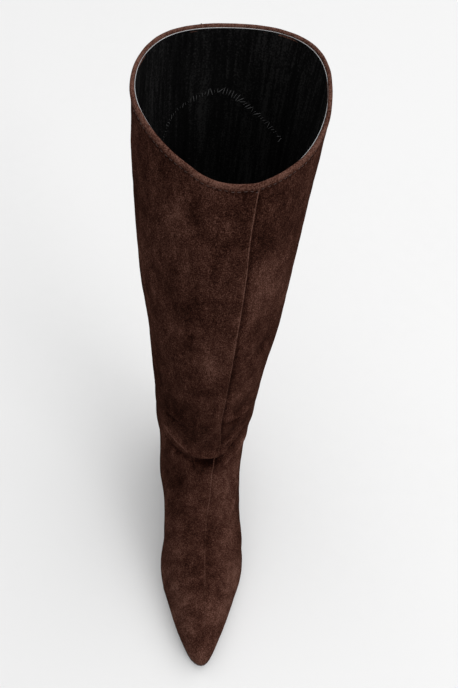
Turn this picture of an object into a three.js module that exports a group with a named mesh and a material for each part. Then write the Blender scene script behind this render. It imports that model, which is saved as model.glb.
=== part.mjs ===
// A knee-high pull-on boot for the left foot, with a pointed toe and a slim block heel.
// The toe points to -Y, the little-toe side is +X and +Z is up.
// Every piece is a stack of closed rings, and each ring runs from the back of the boot
// round the outer side to the front, and home round the inner side.

import * as THREE from "three";

// Sizes of the last and the foot, in millimetres.
const footLength = 258; // toe tip to the back of the heel, in plan
const ballWidth = 82; // widest part of the upper
const heelHeight = 60; // floor to the outsole's underside at the back
const toeSpring = 8; // rise of the outsole's underside at the toe tip
const seatDrop = 7; // fall of the heel seat from its back to the breast

// Sizes of the ankle and the shaft.
const ankleWidth = 80;
const ankleDepth = 102; // shin to heel tendon at the narrowest ring
const ankleInset = 13; // heel tendon ahead of the back of the heel
const throatRise = 104; // heel seat to the front of the ankle
const tendonRise = 122; // heel seat to the back of the ankle
const shaftHeight = 392; // heel seat to the collar, at the back
const collarWidth = 111;
const collarDepth = 117;
const calfOverhang = 11; // collar's back behind the back of the heel
const collarDip = 14; // collar's front below its back
const collarCrest = 11; // collar's sides above the line from back to front
const collarFlat = 3; // how far the collar is pressed in at the inner side of its front
const collarFlatAt = 0.8; // the deepest place of that, as a share from back to front
const collarLean = -2; // sideways shift of the collar's centre to +X
const ankleTwist = 8; // turn of the ankle's front to +X, in degrees
const collarTwist = 12; // turn of the collar's front to +X, in degrees
const shinRidge = 3.5; // height of the soft ridge that the front seam makes
const shinRidgeWidth = 24; // half of the ridge's width

// Thicknesses and clearances.
const wall = 2.2; // suede and lining together
const outsoleThickness = 4.2;
const outsoleBevel = 0.8;
const outsoleInset = 0.3; // outsole's edge inside the upper's feather line
const insoleThickness = 2.8;
const insoleBevel = 0.8;
const liftHeight = 6;
const liftBevel = 0.6;
const seatGap = 0.3; // between any two pieces that touch

// Sizes of the heel.
const heelSeatLength = 56; // back of the heel to the breast, at the seat
const liftLength = 37;
const liftWidth = 39;
const liftInset = 9; // lift's back ahead of the back of the heel
const heelInset = 0.2; // heel's top inside the outsole's edge

// How sharply a ring's front end leaves the sole's outline for its own point.
const toeGather = 5;

// How finely the rings are cut.
const columns = 30; // from the back to the front, on each side
const ringsPerStep = 2; // rings between two rows of a table
const heelRings = 7;

// Outline of the sole. at is a share of footLength from the back of the heel, and the
// half widths and the swing of the centre line to +X are shares of half of ballWidth.
const outline = [
  { at: 0, inner: 0, outer: 0, swing: 0 },
  { at: 0.03, inner: 0.4, outer: 0.4, swing: 0 },
  { at: 0.08, inner: 0.59, outer: 0.59, swing: 0 },
  { at: 0.18, inner: 0.69, outer: 0.7, swing: 0 },
  { at: 0.3, inner: 0.64, outer: 0.68, swing: 0.01 },
  { at: 0.42, inner: 0.6, outer: 0.71, swing: 0.01 },
  { at: 0.5, inner: 0.7, outer: 0.85, swing: 0.01 },
  { at: 0.57, inner: 0.835, outer: 0.985, swing: 0.015 },
  { at: 0.63, inner: 0.925, outer: 1.015, swing: 0.02 },
  { at: 0.68, inner: 0.925, outer: 0.95, swing: 0.02 },
  { at: 0.73, inner: 0.845, outer: 0.835, swing: 0.015 },
  { at: 0.79, inner: 0.73, outer: 0.7, swing: 0.005 },
  { at: 0.86, inner: 0.58, outer: 0.53, swing: -0.02 },
  { at: 0.93, inner: 0.39, outer: 0.35, swing: -0.045 },
  { at: 0.975, inner: 0.245, outer: 0.215, swing: -0.055 },
  { at: 1, inner: 0, outer: 0, swing: -0.055 },
];

// Places along the sole, as shares of footLength.
const seatEnd = 0.19; // front of the straight heel seat
const treadStart = 0.655; // the underside lies on the floor from here
const treadEnd = 0.765; // and rises to the toe from here
const waistStart = 0.1; // the upper bulges over the sole's waist from here
const waistEnd = 0.66; // to here

// Rings of the foot, from the feather line up to the ankle.
// back and reach place the ring's two ends in plan: back is a share of ankleInset, and
// reach runs from 0 at the ankle's front to 1 at the toe tip.
// tendon and throat are their heights, from 0 at the feather line to 1 at the ankle, and
// bend is how much of the sole's arch the ring follows.
const footRings = [
  { back: 0.23, reach: 1, tendon: 0, throat: 0, bend: 1 },
  { back: 0.04, reach: 0.999, tendon: 0.066, throat: 0.04, bend: 0.97 },
  { back: -0.04, reach: 0.965, tendon: 0.131, throat: 0.09, bend: 0.92 },
  { back: 0, reach: 0.87, tendon: 0.197, throat: 0.14, bend: 0.84 },
  { back: 0.08, reach: 0.735, tendon: 0.262, throat: 0.198, bend: 0.72 },
  { back: 0.23, reach: 0.58, tendon: 0.336, throat: 0.265, bend: 0.58 },
  { back: 0.46, reach: 0.424, tendon: 0.418, throat: 0.347, bend: 0.43 },
  { back: 0.69, reach: 0.286, tendon: 0.508, throat: 0.446, bend: 0.28 },
  { back: 0.88, reach: 0.17, tendon: 0.607, throat: 0.562, bend: 0.15 },
  { back: 1, reach: 0.082, tendon: 0.713, throat: 0.688, bend: 0.05 },
  { back: 1.03, reach: 0.027, tendon: 0.836, throat: 0.827, bend: 0 },
  { back: 0.92, reach: 0, tendon: 1, throat: 1, bend: 0 },
];

// Half widths of the same rings. foot and leg are the shares of the sole's outline and of
// the ankle's oval, and arch is the bulge over the waist, as a share of half of ballWidth.
// twist is a share of the ankle's turn.
const footWidths = [
  { foot: 0.965, leg: 0, arch: 0, twist: 0 },
  { foot: 0.985, leg: 0.02, arch: 0.02, twist: 0 },
  { foot: 0.92, leg: 0.075, arch: 0.05, twist: 0 },
  { foot: 0.79, leg: 0.17, arch: 0.075, twist: 0 },
  { foot: 0.61, leg: 0.33, arch: 0.078, twist: 0 },
  { foot: 0.43, leg: 0.53, arch: 0.045, twist: 0.05 },
  { foot: 0.255, leg: 0.705, arch: 0.02, twist: 0.2 },
  { foot: 0.12, leg: 0.82, arch: 0.008, twist: 0.4 },
  { foot: 0.04, leg: 0.895, arch: 0, twist: 0.6 },
  { foot: 0.01, leg: 0.95, arch: 0, twist: 0.8 },
  { foot: 0, leg: 0.99, arch: 0, twist: 0.95 },
  { foot: 0, leg: 1.02, arch: 0, twist: 1 },
];

// Rings of the shaft, from just above the ankle to the collar.
// rise is a share of the shaft above the ankle. back, front and spread run from 0 at the
// ankle to 1 at the collar, and twist does too. lean moves the ring to +X, as a share of
// what the collar has. ridge is the share of the shin ridge.
const shaftRings = [
  { rise: 0.11, back: 0.22, front: -0.25, spread: 0.16, lean: 0, twist: 0.05, ridge: 0.3 },
  { rise: 0.24, back: 0.5, front: -0.2, spread: 0.33, lean: 0.05, twist: 0.15, ridge: 0.6 },
  { rise: 0.42, back: 0.84, front: 0.15, spread: 0.6, lean: 0.2, twist: 0.4, ridge: 0.85 },
  { rise: 0.62, back: 1.05, front: 0.6, spread: 0.83, lean: 0.45, twist: 0.7, ridge: 1 },
  { rise: 0.82, back: 1.08, front: 0.9, spread: 0.94, lean: 0.8, twist: 0.9, ridge: 0.8 },
  { rise: 1, back: 1, front: 1, spread: 1, lean: 1, twist: 1, ridge: 0.35 },
];

const mix = (a, b, t) => a + (b - a) * t;
const clamp01 = (t) => Math.min(1, Math.max(0, t));

// Value of a column of a table at x, on a curve through the rows that never overshoots.
function readTable(rows, key, column, x) {
  const last = rows.length - 1;
  const slope = (i) => (rows[i + 1][column] - rows[i][column]) / (rows[i + 1][key] - rows[i][key]);
  const tangent = (i) => {
    if (i === 0) return slope(0);
    if (i === last) return slope(last - 1);
    const [a, b] = [slope(i - 1), slope(i)];
    return a * b <= 0 ? 0 : (2 * a * b) / (a + b);
  };
  let i = 0;
  while (i < last - 1 && x > rows[i + 1][key]) i += 1;
  const width = rows[i + 1][key] - rows[i][key];
  const t = (x - rows[i][key]) / width;
  const [t2, t3] = [t * t, t * t * t];
  return (
    (2 * t3 - 3 * t2 + 1) * rows[i][column] +
    (t3 - 2 * t2 + t) * width * tangent(i) +
    (3 * t2 - 2 * t3) * rows[i + 1][column] +
    (t3 - t2) * width * tangent(i + 1)
  );
}

// Place on the sole's outline that a ring takes at a share of its own length. It keeps to
// the plan, and is drawn on to the toe's point only near the ring's front end.
const outlineShare = (share, front) =>
  share * (front / footLength) + (1 - front / footLength) * share ** toeGather;

// The sole's outline is read by angle, so that its two ends come out round.
const angleOf = (share) => Math.acos(1 - 2 * clamp01(share));
const outlineByAngle = outline.map((row) => ({ ...row, angle: angleOf(row.at) }));
const soleHalfWidth = (share, side) =>
  (ballWidth / 2) * readTable(outlineByAngle, "angle", side, angleOf(share));
const soleSwing = (share) =>
  (ballWidth / 2) * readTable(outline, "at", "swing", clamp01(share));

// Height of the outsole's underside at a share of the foot's length.
function undersideHeight(share) {
  const at = clamp01(share);
  if (at > treadEnd) return toeSpring * ((at - treadEnd) / (1 - treadEnd)) ** 1.8;
  if (at > treadStart) return 0;
  const seatSlope = -seatDrop / seatEnd;
  if (at < seatEnd) return heelHeight + seatSlope * at;
  const run = treadStart - seatEnd;
  const t = (at - seatEnd) / run;
  const top = heelHeight - seatDrop;
  return top * (2 * t ** 3 - 3 * t ** 2 + 1) + seatSlope * run * (t ** 3 - 2 * t ** 2 + t);
}
const featherHeight = (share) => undersideHeight(share) + outsoleThickness + seatGap;

// Depth of the sole's curve below the straight line from its back to its toe.
const archBend = (share) => featherHeight(share) - mix(featherHeight(0), featherHeight(1), share);

const ankleFront = ankleInset + ankleDepth;
const collarFront = collarDepth - calfOverhang;
const seatHeight = featherHeight(0);
const toeHeight = featherHeight(1);
const throatHeight = seatHeight + throatRise;
const tendonHeight = seatHeight + tendonRise;
const collarHeight = seatHeight + shaftHeight;

// A key ring of the upper in millimetres: its two ends in the side view, what it follows
// of the sole's bend, its half widths, and how it leans, turns, crests and ridges.
const footSection = (row) => ({
  back: ankleInset * row.back,
  backHeight: mix(seatHeight, tendonHeight, row.tendon),
  front: mix(ankleFront, footLength, row.reach),
  frontHeight: mix(toeHeight, throatHeight, row.throat),
  bend: row.bend,
  foot: row.foot,
  leg: (ankleWidth / 2) * row.leg,
  arch: (ballWidth / 2) * row.arch,
  lean: 0,
  twist: ankleTwist * row.twist,
  crest: 0,
  flat: 0,
  ridge: 0,
});
const shaftSection = (row) => ({
  back: mix(ankleInset, -calfOverhang, row.back),
  backHeight: mix(tendonHeight, collarHeight, row.rise),
  front: mix(ankleFront, collarFront, row.front),
  frontHeight: mix(throatHeight, collarHeight - collarDip, row.rise),
  bend: 0,
  foot: 0,
  leg: mix(ankleWidth, collarWidth, row.spread) / 2,
  arch: 0,
  lean: collarLean * row.lean,
  twist: mix(ankleTwist, collarTwist, row.twist),
  crest: collarCrest * row.rise ** 4,
  flat: collarFlat * row.rise ** 2,
  ridge: shinRidge * row.ridge,
});
const sections = [
  ...footRings.map((row, i) => footSection({ ...row, ...footWidths[i] })),
  ...shaftRings.map(shaftSection),
].map((section, level) => ({ ...section, level }));

// Place on a ring: its share of the way from back to front, and its side, by column.
const ringPlaces = Array.from({ length: 2 * columns }, (_, i) => ({
  share: (1 - Math.cos((Math.PI * i) / columns)) / 2,
  side: i <= columns ? "outer" : "inner",
  sign: i <= columns ? 1 : -1,
}));

// Plan and height to the boot's frame: the back of the heel is at the origin's +Y side.
const placed = (x, along, z) => new THREE.Vector3(x, -along, z);
const upward = new THREE.Vector3(0, 0, 1);

// How much of the flat a ring takes at a share of its length, none at its two ends.
const flatPower = Math.log(0.5) / Math.log(collarFlatAt);
const pressedAt = (share) => Math.sin(Math.PI * share ** flatPower) ** 2;

// How much of the arch's bulge a ring takes at a share of its length.
const waistAt = (share) =>
  Math.sin(Math.PI * clamp01((share - waistStart) / (waistEnd - waistStart))) ** 2;

// One ring of the upper's outside.
function upperRing(level) {
  const at = (column) => readTable(sections, "level", column, level);
  const [back, front] = [at("back"), at("front")];
  const centre = placed(at("lean"), (back + front) / 2, 0);
  return ringPlaces.map(({ share, side, sign }) => {
    const oval = 2 * Math.sqrt(share * (1 - share));
    const onSole = outlineShare(share, front);
    const pressed = side === "inner" ? at("flat") * pressedAt(share) : 0;
    const bulge = at("arch") * waistAt(share);
    const half = at("foot") * soleHalfWidth(onSole, side) + at("leg") * oval + bulge - pressed;
    const x = sign * half + at("foot") * soleSwing(onSole);
    const height =
      mix(at("backHeight"), at("frontHeight"), share) +
      at("bend") * archBend(share) +
      at("crest") * 4 * share * (1 - share);
    const nearSeam = share > 0.5 ? Math.max(0, 1 - half / shinRidgeWidth) : 0;
    const along = mix(back, front, share) + at("ridge") * nearSeam ** 1.5;
    const turn = new THREE.Vector3(x + at("lean"), -along, height).sub(centre);
    return turn.applyAxisAngle(upward, THREE.MathUtils.degToRad(at("twist"))).add(centre);
  });
}

// Mesh of a stack of rings. A closed stack joins its last ring to its first. An open one
// has its two ends closed by strips from side to side.
function stackGeometry(rings, closed) {
  const count = rings[0].length;
  const half = count / 2;
  const faces = [];
  const joins = closed ? rings.length : rings.length - 1;
  for (let k = 0; k < joins; k += 1) {
    const low = k * count;
    const high = ((k + 1) % rings.length) * count;
    for (let i = 0; i < count; i += 1) {
      const next = (i + 1) % count;
      faces.push(low + i, high + i, high + next, low + i, high + next, low + next);
    }
  }
  const cap = (start, up) => {
    const add = (a, b, c) => faces.push(start + a, start + (up ? c : b), start + (up ? b : c));
    add(0, 1, count - 1);
    for (let i = 1; i < half - 1; i += 1) {
      add(i, i + 1, count - i);
      add(i + 1, count - i - 1, count - i);
    }
    add(half - 1, half, half + 1);
  };
  if (!closed) {
    cap(0, false);
    cap((rings.length - 1) * count, true);
  }
  const geometry = new THREE.BufferGeometry();
  geometry.setAttribute("position", new THREE.BufferAttribute(
    new Float32Array(rings.flat().flatMap((p) => p.toArray())), 3));
  geometry.setIndex(faces);
  geometry.computeVertexNormals();
  return geometry;
}

// The inside of a wall: each point moved in along the surface's normal. The first and
// last rings move level, so that the wall's two edges are cut square.
function innerRings(rings, thickness) {
  const last = rings.length - 1;
  return rings.map((ring, k) => ring.map((point, i) => {
    const count = ring.length;
    const around = ring[(i + 1) % count].clone().sub(ring[(i + count - 1) % count]);
    const up = rings[Math.min(k + 1, last)][i].clone().sub(rings[Math.max(k - 1, 0)][i]);
    if (k === 0 || k === last) {
      up.set(0, 0, 1);
      around.z = 0;
    }
    return point.clone().addScaledVector(around.cross(up).normalize(), thickness);
  }));
}

function upperGeometry() {
  const steps = (sections.length - 1) * ringsPerStep;
  const outside = Array.from({ length: steps + 1 }, (_, k) => upperRing(k / ringsPerStep));
  return stackGeometry([...outside, ...innerRings(outside, wall).reverse()], true);
}

// The feather line, where the upper meets the sole, and a place on it by its plan.
const featherLine = upperRing(0);
const featherStart = ankleInset * footRings[0].back;
const featherShare = (along) => (along - featherStart) / (footLength - featherStart);
const featherHalfWidth = (along, side) =>
  footWidths[0].foot * soleHalfWidth(featherShare(along), side);

// The feather line moved in by inset, on the sole's curve, and down by drop.
function soleRing({ inset, drop }) {
  const count = featherLine.length;
  return featherLine.map((point, i) => {
    const around = featherLine[(i + 1) % count].clone().sub(featherLine[(i + count - 1) % count]);
    const inward = new THREE.Vector3(around.y, -around.x, 0).normalize();
    const moved = point.clone().addScaledVector(inward, inset);
    return moved.setZ(featherHeight(featherShare(-moved.y)) - drop);
  });
}

const outsoleEdges = [
  { inset: outsoleInset + outsoleBevel, drop: seatGap + outsoleThickness },
  { inset: outsoleInset, drop: seatGap + outsoleThickness - outsoleBevel },
  { inset: outsoleInset, drop: seatGap },
];
const insoleEdges = [
  { inset: wall + seatGap, drop: 0 },
  { inset: wall + seatGap, drop: insoleBevel - insoleThickness },
  { inset: wall + seatGap + insoleBevel, drop: -insoleThickness },
];
const layerGeometry = (edges) => stackGeometry(edges.map(soleRing), false);

// A D-shaped ring of the heel. level is 0 at the lift and 1 at the heel seat, where the
// ring takes the sole's outline. height gives its height at a share of the sole.
function heelRing(level, height, inset) {
  const seatBack = featherStart + outsoleInset + outsoleBevel + heelInset;
  const back = mix(liftInset, seatBack, level) + inset;
  const front = mix(liftInset + liftLength, heelSeatLength, level) - inset;
  const edge = outsoleInset + outsoleBevel + heelInset;
  return ringPlaces.map(({ share, side, sign }) => {
    const along = mix(back, front, share);
    const backCurve = (1 - (1 - Math.min(1, 2 * share)) ** 2.4) ** (1 / 2.4);
    const corner = (1 - Math.max(0, 2 * share - 1) ** 16) ** (1 / 16);
    const own = liftWidth / 2 - inset;
    const sole = Math.max(0, featherHalfWidth(along - seatBack + featherStart, side) - edge);
    const half = mix(own * backCurve, sole, level) * corner;
    return placed(sign * half, along, height(featherShare(along)));
  });
}

function heelGeometry() {
  const bottom = liftHeight + seatGap;
  return stackGeometry(Array.from({ length: heelRings }, (_, k) => {
    const level = k / (heelRings - 1);
    const flare = level ** 1.5;
    return heelRing(flare, (at) => mix(bottom, undersideHeight(at) - seatGap, level), 0);
  }), false);
}

const liftGeometry = () =>
  stackGeometry([
    heelRing(0, () => 0, liftBevel),
    heelRing(0, () => liftBevel, 0),
    heelRing(0, () => liftHeight, 0),
  ], false);

const material = (color, roughness, metalness = 0) =>
  new THREE.MeshStandardMaterial({ color, roughness, metalness });
const suede = material(0x3f2721, 0.95);
const sock = material(0x17130f, 0.7);
const soleLeather = material(0x1d1613, 0.55);
const rubber = material(0x141211, 0.8);

function namedMesh(name, geometry, finish) {
  const mesh = new THREE.Mesh(geometry, finish);
  mesh.name = name;
  return mesh;
}

const boot = new THREE.Group();
boot.add(
  namedMesh("upper", upperGeometry(), suede),
  namedMesh("insole", layerGeometry(insoleEdges), sock),
  namedMesh("outsole", layerGeometry(outsoleEdges), soleLeather),
  namedMesh("heel", heelGeometry(), suede),
  namedMesh("heel_lift", liftGeometry(), rubber),
);

// The part's origin is under the middle of its box, on the floor.
const box = new THREE.Box3().setFromObject(boot);
const middle = box.getCenter(new THREE.Vector3());
boot.position.set(-middle.x, -middle.y, -box.min.z);

export default boot;
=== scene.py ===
import bpy
import bmesh
import math
import numpy as np
from mathutils import Matrix, Vector, noise
from mathutils.bvhtree import BVHTree


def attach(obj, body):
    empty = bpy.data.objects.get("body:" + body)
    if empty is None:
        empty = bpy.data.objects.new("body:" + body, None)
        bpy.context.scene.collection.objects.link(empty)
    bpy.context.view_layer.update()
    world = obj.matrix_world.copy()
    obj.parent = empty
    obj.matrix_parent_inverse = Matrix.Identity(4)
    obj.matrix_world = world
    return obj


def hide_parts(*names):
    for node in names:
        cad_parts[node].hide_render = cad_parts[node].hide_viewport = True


# A knee-high suede boot for the left foot: toe to -Y, little-toe side +X, +Z up.
# Tables of places are in millimetres, and everything in Blender is in metres.

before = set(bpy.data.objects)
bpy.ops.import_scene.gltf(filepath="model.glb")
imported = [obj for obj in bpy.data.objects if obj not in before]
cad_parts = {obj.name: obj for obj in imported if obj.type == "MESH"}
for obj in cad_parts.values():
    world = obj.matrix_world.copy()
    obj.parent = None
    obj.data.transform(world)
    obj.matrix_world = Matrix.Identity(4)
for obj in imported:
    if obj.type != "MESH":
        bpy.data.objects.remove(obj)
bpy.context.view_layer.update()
scene = bpy.context.scene
mm = 0.001
print("frame loaded")


# Camera, floor and light

camera = {
    "place": (-0.0486, -0.2814, 0.7257),
    "turn": (30.0, -2.381, -2.401),  # degrees
    "lens": 40.0,
    "sensor": 36.0,
    "shift": (0.06, 0.10),
    "clip": (0.01, 20.0),
}
cameraData = bpy.data.cameras.new("camera")
cameraData.lens = camera["lens"]
cameraData.sensor_width = camera["sensor"]
cameraData.shift_x, cameraData.shift_y = camera["shift"]
cameraData.clip_start, cameraData.clip_end = camera["clip"]
cameraObject = bpy.data.objects.new("camera", cameraData)
cameraObject.location = camera["place"]
cameraObject.rotation_euler = [math.radians(angle) for angle in camera["turn"]]
scene.collection.objects.link(cameraObject)
scene.camera = cameraObject

studio = {
    "colour": (1.0, 1.0, 1.0, 1.0),
    "wall": 0.36,  # strength of the pale surroundings as a light
    "wallSeen": 0.9,  # and as the camera sees them
    "floorSize": 14.0,
    "boxes": [  # name, place, aim, size, power
        ("top_box", (0.8, 0.3, 3.6), (0.3, 0.2, 0.0), 6.0, 184.0),
        ("key_box", (2.1, -2.6, 2.6), (0.0, 0.0, 0.2), 1.8, 36.0),
    ],
}
scene.view_settings.view_transform = "Standard"
world = bpy.data.worlds.new("pale_room")
world.use_nodes = True
worldTree = world.node_tree
background = worldTree.nodes["Background"]
background.inputs["Color"].default_value = studio["colour"]
rays = worldTree.nodes.new("ShaderNodeLightPath")
strength = worldTree.nodes.new("ShaderNodeMath")
strength.operation = "MULTIPLY_ADD"
strength.inputs[1].default_value = studio["wallSeen"] - studio["wall"]
strength.inputs[2].default_value = studio["wall"]
worldTree.links.new(rays.outputs["Is Camera Ray"], strength.inputs[0])
worldTree.links.new(strength.outputs["Value"], background.inputs["Strength"])
scene.world = world
for name, place, aim, size, power in studio["boxes"]:
    lamp = bpy.data.lights.new(name, "AREA")
    lamp.size = size
    lamp.energy = power
    lampObject = bpy.data.objects.new(name, lamp)
    lampObject.location = place
    lampObject.rotation_euler = (Vector(aim) - Vector(place)).to_track_quat("-Z", "Y").to_euler()
    scene.collection.objects.link(lampObject)
print("camera and lights set")


# Small helpers

def deselectAll():
    for item in list(bpy.context.selected_objects):
        item.select_set(False)


def makeActive(piece):
    deselectAll()
    piece.select_set(True)
    bpy.context.view_layer.objects.active = piece


def smoothPath(points, count):
    # A curve through the points, as count places at even steps
    stepsPerSpan = 12
    p = np.array(points, float)
    p = np.vstack([2 * p[0] - p[1], p, 2 * p[-1] - p[-2]])
    rows = []
    for i in range(1, len(p) - 2):
        for t in np.linspace(0, 1, stepsPerSpan, endpoint=False):
            a, b, c, d = p[i - 1:i + 3]
            rows.append(0.5 * (2 * b + (c - a) * t + (2 * a - 5 * b + 4 * c - d) * t ** 2
                               + (3 * b - a - 3 * c + d) * t ** 3))
    rows.append(p[-2])
    rows = np.array(rows)
    run = np.r_[0, np.cumsum(np.linalg.norm(np.diff(rows, axis=0), axis=1))]
    at = np.linspace(0, run[-1], count)
    return np.stack([np.interp(at, run, rows[:, k]) for k in range(3)], 1)


def nearPath(places, path):
    # Distance from each place to the path, and how far along the path it is, 0 to 1
    best = np.full(len(places), np.inf)
    along = np.zeros(len(places))
    last = len(path) - 1
    for i in range(last):
        start, step = path[i], path[i + 1] - path[i]
        t = np.clip((places - start) @ step / (step @ step), 0, 1)
        gap = np.linalg.norm(places - start - t[:, None] * step, axis=1)
        closer = gap < best
        best[closer] = gap[closer]
        along[closer] = (i + t[closer]) / last
    return best, along


def readMesh(piece):
    # Places in millimetres and normals of a mesh
    mesh = piece.data
    places = np.empty(len(mesh.vertices) * 3)
    mesh.vertices.foreach_get("co", places)
    normals = np.array([v.vector for v in mesh.vertex_normals])
    return places.reshape(-1, 3) / mm, normals


def writeMesh(piece, places):
    piece.data.vertices.foreach_set("co", (places * mm).ravel())
    piece.data.update()


def surfaceOf(piece):
    mesh = piece.data
    return BVHTree.FromPolygons([v.co for v in mesh.vertices], [p.vertices for p in mesh.polygons])


def hump(distance, width):
    return np.exp(-(distance / width) ** 2)


def paint(piece, name, values):
    layer = piece.data.attributes.new(name, "FLOAT", "POINT")
    layer.data.foreach_set("value", np.asarray(values, np.float32))


def finishPiece(piece, material):
    piece.data.materials.clear()
    piece.data.materials.append(material)
    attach(piece, "root")


# Materials: each is a list of nodes and the wires between them

def makeMaterial(name, nodes, wires, shader):
    material = bpy.data.materials.new(name)
    material.use_nodes = True
    tree = material.node_tree
    made = {"shader": tree.nodes["Principled BSDF"]}
    for key, value in shader.items():
        made["shader"].inputs[key].default_value = value
    for key, kind, settings in nodes:
        node = tree.nodes.new("ShaderNode" + kind)
        made[key] = node
        for what, value in settings.items():
            if what == "ramp":
                stops = node.color_ramp.elements
                while len(stops) < len(value):
                    stops.new(0.5)
                for stop, (at, colour) in zip(stops, value):
                    stop.position = at
                    stop.color = (*colour, 1.0)
            elif isinstance(what, str) and hasattr(node, what) and what not in node.inputs:
                setattr(node, what, value)
            else:
                node.inputs[what].default_value = value
    for a, out, b, into in wires:
        tree.links.new(made[a].outputs[out], made[b].inputs[into])
    return material


suedeLook = {
    "ramp": [(0.0, (0.0050, 0.0016, 0.0011)), (0.3, (0.0160, 0.0054, 0.0036)),
             (0.5, (0.0345, 0.0130, 0.0088)), (0.72, (0.0630, 0.0265, 0.0186)),
             (1.0, (0.1300, 0.0640, 0.0480))],
    "start": 0.52,  # where on the ramp the plain nap lies
    "patterns": [  # name, repeats per metre along X, Y and Z, detail, distortion, share of the tone
        ("clouds", (13.0, 13.0, 9.0), 3.0, 0.5, 0.5),
        ("patches", (44.0, 44.0, 24.0), 4.0, 0.4, 0.58),
        ("mottle", (140.0, 140.0, 72.0), 4.0, 0.3, 0.7),
        ("strokes", (520.0, 520.0, 300.0), 3.0, 0.2, 0.5),
        ("nap", (1500.0, 1500.0, 1200.0), 2.0, 0.0, 1.8),
    ],
    "lean": (0.0, 0.2, 0.15),  # how the patterns are turned
    "strokeHeight": 0.8,  # beside the nap's height of 1
    "bump": {"Strength": 0.7, "Distance": 0.0007},
    "shader": {"Roughness": 1.0, "Specular IOR Level": 0.0, "Sheen Weight": 0.015,
               "Sheen Roughness": 0.5, "Sheen Tint": (0.8, 0.45, 0.34, 1.0)},
}


def makeSuede(name):
    nodes = [
        ("place", "TexCoord", {}),
        ("tone", "Attribute", {"attribute_name": "tone"}),
        ("start", "Math", {"operation": "ADD", 1: suedeLook["start"]}),
        ("tint", "ValToRGB", {"ramp": suedeLook["ramp"]}),
        ("height", "Math", {"operation": "MULTIPLY_ADD", 1: suedeLook["strokeHeight"]}),
        ("bump", "Bump", suedeLook["bump"]),
    ]
    wires = [("tone", "Fac", "start", 0)]
    total = "start"
    for pattern, scale, detail, distortion, share in suedeLook["patterns"]:
        nodes += [
            (pattern + "Map", "Mapping", {"Scale": scale, "Rotation": suedeLook["lean"]}),
            (pattern, "TexNoise", {"Scale": 1.0, "Detail": detail, "Roughness": 0.6,
                                   "Distortion": distortion}),
            (pattern + "Even", "Math", {"operation": "MULTIPLY_ADD", 1: share, 2: -share / 2}),
            (pattern + "Sum", "Math", {"operation": "ADD"}),
        ]
        wires += [
            ("place", "Object", pattern + "Map", "Vector"),
            (pattern + "Map", "Vector", pattern, "Vector"),
            (pattern, "Fac", pattern + "Even", 0),
            (pattern + "Even", "Value", pattern + "Sum", 0),
            (total, "Value", pattern + "Sum", 1),
        ]
        total = pattern + "Sum"
    wires += [
        (total, "Value", "tint", "Fac"),
        ("tint", "Color", "shader", "Base Color"),
        ("strokes", "Fac", "height", 0),
        ("nap", "Fac", "height", 2),
        ("height", "Value", "bump", "Height"),
        ("bump", "Normal", "shader", "Normal"),
    ]
    return makeMaterial(name, nodes, wires, suedeLook["shader"])


def makePlain(name, colours, scale, detail, bump, distance, shader):
    # A ground with a fine mottle and a bump of the same grain
    nodes = [
        ("place", "TexCoord", {}),
        ("grain", "TexNoise", {"Scale": scale, "Detail": detail, "Roughness": 0.6}),
        ("spots", "TexNoise", {"Scale": scale * 0.06, "Detail": 4.0, "Distortion": 0.6}),
        ("mix", "Math", {"operation": "MULTIPLY_ADD", 1: 0.5, 2: 0.25}),
        ("sum", "Math", {"operation": "MULTIPLY_ADD", 1: 0.6}),
        ("tint", "ValToRGB", {"ramp": [(0.3, colours[0]), (0.8, colours[1])]}),
        ("bump", "Bump", {"Strength": bump, "Distance": distance}),
    ]
    wires = [
        ("place", "Object", "grain", "Vector"),
        ("place", "Object", "spots", "Vector"),
        ("grain", "Fac", "mix", 0),
        ("spots", "Fac", "sum", 0),
        ("mix", "Value", "sum", 2),
        ("sum", "Value", "tint", "Fac"),
        ("tint", "Color", "shader", "Base Color"),
        ("grain", "Fac", "bump", "Height"),
        ("bump", "Normal", "shader", "Normal"),
    ]
    return makeMaterial(name, nodes, wires, shader)


fabricLook = {
    "ribs": (420.0, 420.0, 26.0),  # repeats per metre along X, Y and Z
    "fluff": 900.0,
    "ramp": [(0.55, (0.0017, 0.0017, 0.0018)), (0.88, (0.0075, 0.0074, 0.0076)),
             (1.0, (0.022, 0.0215, 0.0215))],
    "bump": {"Strength": 0.5, "Distance": 0.0005},
    "shader": {"Roughness": 1.0, "Specular IOR Level": 0.02},
}


def makeFabric(name):
    # Black lining: fine upright ribs, and a little fluff
    nodes = [
        ("place", "TexCoord", {}),
        ("tone", "Attribute", {"attribute_name": "tone"}),
        ("comb", "Mapping", {"Scale": fabricLook["ribs"]}),
        ("ribs", "TexNoise", {"Scale": 1.0, "Detail": 3.0, "Roughness": 0.55}),
        ("fluff", "TexNoise", {"Scale": fabricLook["fluff"], "Detail": 3.0, "Roughness": 0.75}),
        ("sum", "Math", {"operation": "MULTIPLY_ADD", 1: 0.7}),
        ("all", "Math", {"operation": "ADD"}),
        ("tint", "ValToRGB", {"ramp": fabricLook["ramp"]}),
        ("bump", "Bump", fabricLook["bump"]),
    ]
    wires = [
        ("place", "Object", "comb", "Vector"),
        ("comb", "Vector", "ribs", "Vector"),
        ("place", "Object", "fluff", "Vector"),
        ("ribs", "Fac", "sum", 0),
        ("fluff", "Fac", "sum", 2),
        ("sum", "Value", "all", 0),
        ("tone", "Fac", "all", 1),
        ("all", "Value", "tint", "Fac"),
        ("tint", "Color", "shader", "Base Color"),
        ("sum", "Value", "bump", "Height"),
        ("bump", "Normal", "shader", "Normal"),
    ]
    return makeMaterial(name, nodes, wires, fabricLook["shader"])


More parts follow.
